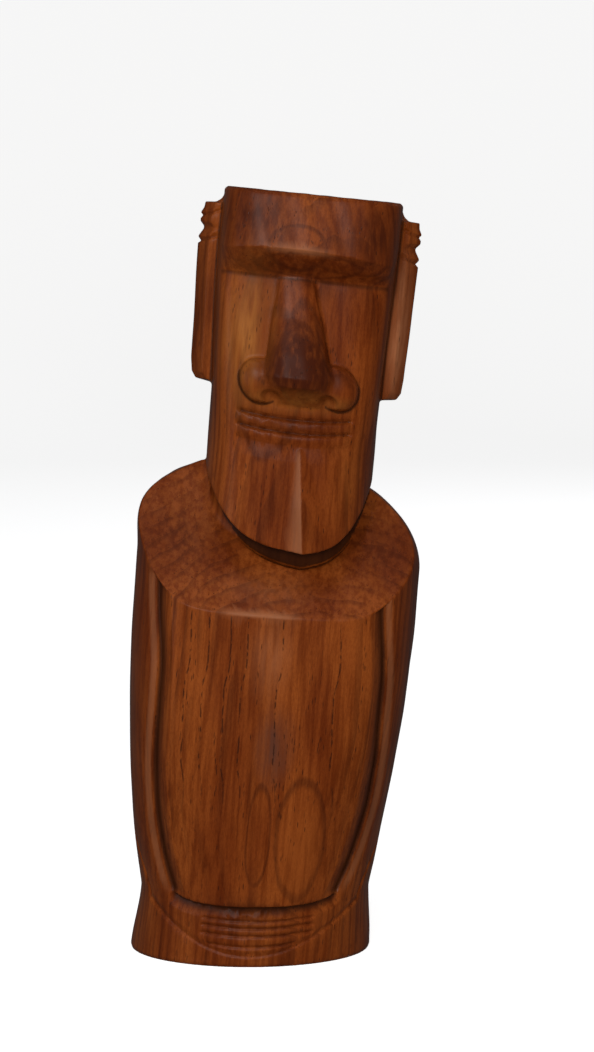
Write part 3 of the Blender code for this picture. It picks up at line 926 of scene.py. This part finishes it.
def make_figure():
    """The upright parts are joined and fused, then carved, thinned out and leaned over."""
    body = make_body()
    subtract(body, make_neck_hollow())
    head = make_head_block()
    subtract(head, below_jaw())
    keel = make_chin_keel()
    subtract(keel, below_jaw())
    ears = [make_ear(side) for side in (-1.0, 1.0)]
    figure = join("carved_moai_figure", [body, head, keel, make_neck(), make_nose()] + ears)
    remesh(figure)
    carve(figure)
    thin_out(figure)
    lean_over(figure)
    figure.data.shade_smooth()
    return figure


# Wood, built from nodes that work in millimetres along the leaning grain

RING_WIDTH = 4.4
TREE_HEART = (20.0, -120.0)

# Where rings close round a high place: its middle and its radii
CLOSED_RINGS = (
    ((15.5, -42.0, 52.0), (11.0, 60.0, 27.0)),
    ((-0.5, -42.0, 52.0), (5.5, 60.0, 23.0)),
    ((-4.0, -40.0, 280.0), (13.0, 40.0, 10.0)),
    ((1.0, -40.0, 273.5), (24.0, 40.0, 5.5)),
    ((0.5, -50.0, 240.0), (8.5, 40.0, 25.0)),
    ((0.5, -50.0, 236.0), (8.5, 40.0, 19.0)),
    ((-10.0, -40.0, 228.0), (15.0, 40.0, 33.0)),
)

LIGHT_WOOD = (0.300, 0.072, 0.012, 1.0)
# Red and dark wood, also used as painted shade on the face, the ears and the shoulders
RED_WOOD_AND_SHADE = (0.200, 0.040, 0.006, 1.0)
DARK_WOOD_AND_SHADE = (0.060, 0.011, 0.003, 1.0)
GOLD_WOOD = (0.360, 0.120, 0.022, 1.0)
GREY_WOOD = (0.120, 0.038, 0.020, 1.0)
# Colour of painted highlights and painted sheen
PAINTED_SHEEN = (0.420, 0.160, 0.070, 1.0)
OPEN_PORE = (0.020, 0.006, 0.003, 1.0)
# Colour of the dirt in the carved lines and of the painted shade in the hollows and creases
SHADE_AND_DIRT_COLOUR = (0.022, 0.007, 0.003, 1.0)
STREAK_SHADE = (0.66, 0.56, 0.46, 1.0)
SPECKLE_SHADE = (0.84, 0.79, 0.74, 1.0)

# Tinted places, painted shade and painted highlights: tint, middle, radii and strength
TINTS_SHADES_AND_HIGHLIGHTS = (
    (GOLD_WOOD, (-20.0, -34.0, 246.0), (15.0, 24.0, 40.0), 1.0),
    # Painted shade on the nose's left side
    (RED_WOOD_AND_SHADE, (-14.0, -34.0, 247.0), (4.0, 24.0, 26.0), 0.9),
    (GOLD_WOOD, (24.0, -40.0, 196.0), (7.0, 24.0, 22.0), 0.3),
    # Painted shade where the forehead turns away at its left end
    (DARK_WOOD_AND_SHADE, (-24.0, -38.0, 292.0), (22.0, 28.0, 22.0), 1.0),
    # Painted shade where the forehead turns away at its right end
    (DARK_WOOD_AND_SHADE, (26.0, -38.0, 286.0), (22.0, 28.0, 22.0), 0.9),
    # Painted shade under the brow
    (DARK_WOOD_AND_SHADE, (-8.0, -36.0, 271.0), (34.0, 16.0, 8.0), 0.9),
    # Painted shade over the nose
    (DARK_WOOD_AND_SHADE, (1.0, -50.0, 238.0), (24.0, 24.0, 28.0), 2.1),
    # Painted shade over the tops of the nose's tip and wings
    (DARK_WOOD_AND_SHADE, (1.0, -42.0, 233.0), (30.0, 16.0, 9.0), 1.0),
    (GOLD_WOOD, (1.0, -46.0, 220.5), (32.0, 20.0, 7.0), 1.2),
    # Painted shade on the left ear
    (DARK_WOOD_AND_SHADE, (-42.0, -8.0, 252.0), (12.0, 34.0, 60.0), 0.9),
    # Painted shade on the head's left front corner, which faces away
    (DARK_WOOD_AND_SHADE, (-36.0, -30.0, 240.0), (7.0, 20.0, 70.0), 0.9),
    # Painted highlight on the right ear's inner strip
    (PAINTED_SHEEN, (38.5, -16.0, 248.0), (6.0, 16.0, 42.0), 1.0),
    (GREY_WOOD, (3.0, -45.0, 88.0), (10.0, 20.0, 20.0), 1.4),
    # Painted sheen in the middle of the chest
    (PAINTED_SHEEN, (-1.0, -43.0, 122.0), (12.0, 20.0, 22.0), 0.35),
    (LIGHT_WOOD, (15.5, -42.0, 48.0), (13.0, 60.0, 26.0), 0.8),
    (DARK_WOOD_AND_SHADE, (0.0, -38.0, 212.0), (34.0, 14.0, 8.0), 0.6),
    (DARK_WOOD_AND_SHADE, (-6.0, -36.0, 20.0), (24.0, 20.0, 12.0), 0.6),
    # Painted shade on the left shoulder's outer part, which turns away
    (DARK_WOOD_AND_SHADE, (-38.0, -18.0, 165.0), (30.0, 44.0, 30.0), 0.55),
    # Painted shade on the right shoulder's outer part, which turns away
    (DARK_WOOD_AND_SHADE, (37.0, -18.0, 165.0), (30.0, 44.0, 30.0), 0.50),
    # Painted sheen on the slope of the shoulders
    (PAINTED_SHEEN, (-4.0, -35.0, 150.0), (26.0, 14.0, 13.0), 0.25),
)

# Places across the chest of the dotted lines of pores, and the heights where they fade in and end
SEAM_PLACES = (-33.0, -26.0, -17.5, -11.0, 2.7, 25.0)
SEAMS_FADE_IN = (52.0, 80.0)
SEAMS_END = (139.0, 136.0)


def node(tree, kind, **settings):
    made = tree.nodes.new(kind)
    for name, value in settings.items():
        setattr(made, name, value)
    return made


def feed(tree, value, socket):
    """Links the value if it comes from another node, and sets it if it is a number or a colour."""
    if isinstance(value, bpy.types.NodeSocket):
        tree.links.new(value, socket)
    else:
        socket.default_value = value


def calculate(tree, operation, *values, clamp=False):
    made = node(tree, "ShaderNodeMath", operation=operation, use_clamp=clamp)
    for value, socket in zip(values, made.inputs):
        feed(tree, value, socket)
    return made.outputs[0]


def product(tree, *values):
    total = values[0]
    for value in values[1:]:
        total = calculate(tree, "MULTIPLY", total, value)
    return total


def greatest(tree, values):
    total = values[0]
    for value in values[1:]:
        total = calculate(tree, "MAXIMUM", total, value)
    return total


def scaled(tree, grain, across, along):
    """The grain's coordinates, times one number across the grain and another along it."""
    made = node(tree, "ShaderNodeMapping")
    made.inputs["Scale"].default_value = (across, across, along)
    tree.links.new(grain, made.inputs["Vector"])
    return made.outputs["Vector"]


def noise(tree, grain, across, along, detail=2.0, roughness=0.5):
    """Soft noise with about so many waves in a millimetre across the grain and along it."""
    made = node(tree, "ShaderNodeTexNoise")
    made.inputs["Scale"].default_value = 1.0
    made.inputs["Detail"].default_value = detail
    made.inputs["Roughness"].default_value = roughness
    tree.links.new(scaled(tree, grain, across, along), made.inputs["Vector"])
    return made.outputs["Fac"]


def patch(tree, grain, place, radii):
    """1 at a place, falling smoothly to 0 at the radii round it."""
    local = node(tree, "ShaderNodeMapping", vector_type="TEXTURE")
    local.inputs["Location"].default_value = place
    local.inputs["Scale"].default_value = radii
    tree.links.new(grain, local.inputs["Vector"])
    ball = node(tree, "ShaderNodeTexGradient", gradient_type="SPHERICAL")
    tree.links.new(local.outputs["Vector"], ball.inputs["Vector"])
    return calculate(tree, "POWER", ball.outputs["Fac"], 1.3)


def blend(tree, factor, first, second, kind="MIX"):
    made = node(tree, "ShaderNodeMix", data_type="RGBA", blend_type=kind)
    feed(tree, factor, made.inputs[0])
    feed(tree, first, made.inputs[6])
    feed(tree, second, made.inputs[7])
    return made.outputs[2]


def step(tree, value, low, high):
    """0 from low outwards, 1 from high outwards, and a smooth step between them."""
    made = node(tree, "ShaderNodeMapRange", interpolation_type="SMOOTHSTEP")
    tree.links.new(value, made.inputs["Value"])
    made.inputs["From Min"].default_value = low
    made.inputs["From Max"].default_value = high
    return made.outputs["Result"]


def split(tree, vector):
    parts = node(tree, "ShaderNodeSeparateXYZ")
    tree.links.new(vector, parts.inputs["Vector"])
    return parts.outputs["X"], parts.outputs["Y"], parts.outputs["Z"]


def attribute(tree, name):
    return node(tree, "ShaderNodeAttribute", attribute_name=name).outputs["Fac"]


def grain_space(tree):
    """Object coordinates in millimetres, turned so that z runs up the leaning grain."""
    place = node(tree, "ShaderNodeTexCoord")
    turned = node(tree, "ShaderNodeMapping")
    turned.inputs["Rotation"].default_value = (0.0, -LEAN, 0.0)
    turned.inputs["Scale"].default_value = (1000.0, 1000.0, 1000.0)
    tree.links.new(place.outputs["Object"], turned.inputs["Vector"])
    return turned.outputs["Vector"]


def ring_count(tree, grain):
    """How many growth rings are between the heart of the tree, in front of the figure, and a point."""
    x, y, _ = split(tree, grain)
    sway = calculate(tree, "MULTIPLY_ADD", noise(tree, grain, 0.030, 0.011, detail=1.5), 22.0, -11.0)
    x = calculate(tree, "ADD", calculate(tree, "SUBTRACT", x, TREE_HEART[0]), sway)
    y = calculate(tree, "SUBTRACT", y, TREE_HEART[1])
    squares = calculate(tree, "ADD", calculate(tree, "POWER", x, 2.0), calculate(tree, "POWER", y, 2.0))
    fine = noise(tree, grain, 0.12, 0.020)
    radius = calculate(tree, "MULTIPLY_ADD", fine, 2.4, calculate(tree, "SQRT", squares))
    return calculate(tree, "DIVIDE", radius, RING_WIDTH)


def closed_rings(tree, grain):
    """1 on the thin dark rings that close round the wood's high places."""
    warp = noise(tree, grain, 0.10, 0.05)
    lines = []
    for place, radii in CLOSED_RINGS:
        near = patch(tree, grain, place, radii)
        level = calculate(tree, "MULTIPLY_ADD", warp, 0.16, near)
        outer = step(tree, level, 0.09, 0.15)
        inner = step(tree, level, 0.27, 0.17)
        lines.append(product(tree, outer, inner, step(tree, near, 0.0, 0.03)))
    return greatest(tree, lines)


def late_wood(tree, grain, rings):
    """1 on the thin dark line that ends each growth ring, where it hasn't faded."""
    ring = calculate(tree, "FRACT", rings)
    fading = step(tree, noise(tree, grain, 0.07, 0.025), 0.34, 0.62)
    return product(tree, step(tree, ring, 0.55, 0.94), step(tree, ring, 1.0, 0.96), fading)


def wood_colour(tree, grain, rings):
    """Light and red wood in long clouds, with the rings' dark lines, streaks and speckles."""
    cloud = noise(tree, grain, 0.050, 0.014, detail=3.0)
    colour = blend(tree, step(tree, cloud, 0.36, 0.64), RED_WOOD_AND_SHADE, LIGHT_WOOD)
    open_lines = product(tree, late_wood(tree, grain, rings), 0.45)
    closed_lines = product(tree, closed_rings(tree, grain), 0.50)
    colour = blend(tree, greatest(tree, [open_lines, closed_lines]), colour, DARK_WOOD_AND_SHADE)
    streaks = noise(tree, grain, 0.50, 0.020, detail=4.0, roughness=0.6)
    colour = blend(tree, step(tree, streaks, 0.60, 0.36), colour, STREAK_SHADE, "MULTIPLY")
    speckle = noise(tree, grain, 2.4, 0.6, detail=3.0, roughness=0.7)
    return blend(tree, step(tree, speckle, 0.58, 0.40), colour, SPECKLE_SHADE, "MULTIPLY")


def tint_place(tree, grain, colour, tint, place, radii, strength):
    """Tints a place of this block of wood, more in some of its fibres than in others; the tints are wood
    colours, painted shade and painted highlights.
    """
    fibres = step(tree, noise(tree, grain, 0.45, 0.06, detail=3.0), 0.32, 0.68)
    near = product(tree, patch(tree, grain, place, radii), strength)
    taken = calculate(tree, "MULTIPLY_ADD", fibres, 0.70, 0.55)
    part = calculate(tree, "MULTIPLY", near, taken, clamp=True)
    return blend(tree, part, colour, tint)


def tinted_and_painted_places(tree, grain, colour):
    """The light and dark places of this block of wood, from the forehead down to the hands: tints of the
    wood, painted shade and painted highlights.
    """
    for tint, place, radii, strength in TINTS_SHADES_AND_HIGHLIGHTS:
        colour = tint_place(tree, grain, colour, tint, place, radii, strength)
    return colour


def seams(tree, grain):
    """1 on the long dotted lines of open pores that run down the chest."""
    x, _, height = split(tree, grain)
    sway = calculate(tree, "MULTIPLY_ADD", noise(tree, grain, 0.0, 0.022, detail=1.5), 14.0, -7.0)
    x = calculate(tree, "ADD", x, sway)
    lines = []
    for place in SEAM_PLACES:
        away = calculate(tree, "ABSOLUTE", calculate(tree, "SUBTRACT", x, place))
        lines.append(step(tree, away, 0.50, 0.10))
    dashes = step(tree, noise(tree, grain, 0.8, 0.30), 0.42, 0.56)
    along = product(tree, step(tree, height, *SEAMS_FADE_IN), step(tree, height, *SEAMS_END))
    return product(tree, greatest(tree, lines), dashes, along)


def pores(tree, grain, rings):
    """Short dark dashes along the grain, in rows on the early side of each ring."""
    cells = node(tree, "ShaderNodeTexVoronoi")
    cells.inputs["Scale"].default_value = 1.0
    tree.links.new(scaled(tree, grain, 1.25, 0.17), cells.inputs["Vector"])
    dash = step(tree, cells.outputs["Distance"], 0.30, 0.14)
    ring = calculate(tree, "FRACT", rings)
    row = product(tree, step(tree, ring, 0.0, 0.04), step(tree, ring, 0.30, 0.12))
    return product(tree, dash, calculate(tree, "MULTIPLY_ADD", row, 0.85, 0.15))


def dirt_shade_and_highlights(tree, colour):
    """Old dirt in the carved lines with painted shade in the hollows and creases, and painted highlights on
    the edges.
    """
    dirt_and_shade = product(tree, step(tree, attribute(tree, "shade_and_dirt"), 0.20, 0.95), 0.85)
    colour = blend(tree, dirt_and_shade, colour, SHADE_AND_DIRT_COLOUR)
    return blend(tree, product(tree, attribute(tree, "painted_highlight"), 0.60), colour, PAINTED_SHEEN)


def fine_relief(tree, grain, dashes):
    """The normal of a surface with raised fibres and sunken pores."""
    fibre = product(tree, noise(tree, grain, 5.0, 0.25), 0.35)
    bump = node(tree, "ShaderNodeBump")
    bump.inputs["Strength"].default_value = 0.30
    bump.inputs["Distance"].default_value = 0.00012
    tree.links.new(calculate(tree, "SUBTRACT", fibre, dashes), bump.inputs["Height"])
    return bump.outputs["Normal"]


def wood_material():
    material = bpy.data.materials.new("oiled_wood")
    material.use_nodes = True
    tree = material.node_tree
    shader = tree.nodes["Principled BSDF"]
    grain = grain_space(tree)
    rings = ring_count(tree, grain)
    dashes = greatest(tree, [pores(tree, grain, rings), seams(tree, grain)])
    # Tints of the wood, painted shade and painted highlights at single places
    colour = tinted_and_painted_places(tree, grain, wood_colour(tree, grain, rings))
    colour = blend(tree, product(tree, dashes, 0.75), colour, OPEN_PORE)
    # Dirt, painted shade and painted highlights go into the base colour here
    tree.links.new(dirt_shade_and_highlights(tree, colour), shader.inputs["Base Color"])
    satin = noise(tree, grain, 0.09, 0.05, detail=3.0)
    tree.links.new(calculate(tree, "MULTIPLY_ADD", satin, 0.16, 0.30), shader.inputs["Roughness"])
    tree.links.new(fine_relief(tree, grain, dashes), shader.inputs["Normal"])
    shader.inputs["Specular IOR Level"].default_value = 0.20
    return material


# Studio

# The round backdrop, in metres: its flat floor, the bend up to its wall, and its wall
FLOOR_RADIUS = 2.4
WALL_BEND = 0.9
WALL_TOP = 5.0
BEND_STEPS = 12
BACKDROP_COLUMNS = 72
BACKDROP_GREY = (0.80, 0.80, 0.80, 1.0)
WHITE = (1.0, 1.0, 1.0, 1.0)

# Each light's name, place, width and height, power, colour, and whether the varnish mirrors it
LIGHTS = (
    ("front_softbox", (0.04, -1.45, 0.36), (0.20, 0.20), 10.5, (1.0, 0.95, 0.88), False),
    ("high_softbox", (-0.22, -1.30, 0.90), (0.25, 0.25), 4.4, (1.0, 0.97, 0.94), True),
    ("left_window", (-1.1, -0.75, 0.45), (0.3, 0.6), 1.2, (0.85, 0.92, 1.0), True),
    ("ceiling", (-0.1, -0.45, 1.50), (0.6, 0.5), 3.5, (0.90, 0.94, 1.0), False),
    ("back_fill", (0.9, 1.5, 1.1), (0.8, 0.8), 7.0, (0.94, 0.96, 1.0), False),
)
LIGHT_TARGET = Vector((0.01, 0.0, 0.16))


def backdrop_rings():
    """Rings from the middle of the floor out to its edge, up the bend and up the wall."""
    stations = [(0.5 * FLOOR_RADIUS, 0.0), (FLOOR_RADIUS, 0.0)]
    for i in range(1, BEND_STEPS + 1):
        angle = 0.5 * math.pi * i / BEND_STEPS
        radius = FLOOR_RADIUS + WALL_BEND * math.sin(angle)
        stations.append((radius, WALL_BEND * (1.0 - math.cos(angle))))
    stations.append((FLOOR_RADIUS + WALL_BEND, WALL_TOP))
    turns = [2.0 * math.pi * k / BACKDROP_COLUMNS for k in range(BACKDROP_COLUMNS)]
    return [[(r * math.cos(turn), r * math.sin(turn), height) for turn in turns] for r, height in stations]


def backdrop_material():
    material = bpy.data.materials.new("pale_floor")
    material.use_nodes = True
    shader = material.node_tree.nodes["Principled BSDF"]
    shader.inputs["Base Color"].default_value = BACKDROP_GREY
    shader.inputs["Roughness"].default_value = 0.9
    shader.inputs["Specular IOR Level"].default_value = 0.1
    shader.inputs["Emission Color"].default_value = WHITE
    shader.inputs["Emission Strength"].default_value = 0.80
    return material


def make_backdrop():
    """A pale round floor that curves up into a wall far from the figure, and casts no colour on it."""
    backdrop = loft("pale_floor", backdrop_rings(), open_top=True)
    backdrop.data.shade_smooth()
    backdrop.data.materials.append(backdrop_material())
    backdrop.visible_glossy = False
    backdrop.visible_diffuse = False


def add_light(name, place, size, power, colour, mirrored):
    light = bpy.data.lights.new(name, "AREA")
    light.shape = "RECTANGLE"
    light.size, light.size_y = size
    light.energy = power
    light.color = colour
    lamp = bpy.data.objects.new(name, light)
    lamp.location = place
    lamp.rotation_euler = (LIGHT_TARGET - Vector(place)).to_track_quat("-Z", "Y").to_euler()
    lamp.visible_glossy = mirrored
    bpy.context.scene.collection.objects.link(lamp)


def make_world():
    world = bpy.data.worlds.new("studio")
    world.use_nodes = True
    background = world.node_tree.nodes["Background"]
    background.inputs["Color"].default_value = WHITE
    background.inputs["Strength"].default_value = 0.08
    bpy.context.scene.world = world
    bpy.context.scene.view_settings.view_transform = "Standard"


def make_studio():
    make_backdrop()
    for settings in LIGHTS:
        add_light(*settings)
    make_world()


def make_camera():
    camera = bpy.data.cameras.new("camera")
    camera.sensor_fit = "VERTICAL"
    camera.sensor_height = 24.0
    camera.lens = FOCAL_PIXELS / PHOTO_HEIGHT * camera.sensor_height
    stand = bpy.data.objects.new("camera", camera)
    stand.location = CAMERA_PLACE
    stand.rotation_euler = (math.pi / 2.0 - CAMERA_TILT, 0.0, 0.0)
    bpy.context.scene.collection.objects.link(stand)
    bpy.context.scene.camera = stand


def main():
    make_camera()
    make_studio()
    figure = make_figure()
    figure.data.materials.append(wood_material())
    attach(figure, "root")
    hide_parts("moai_figure")


main()
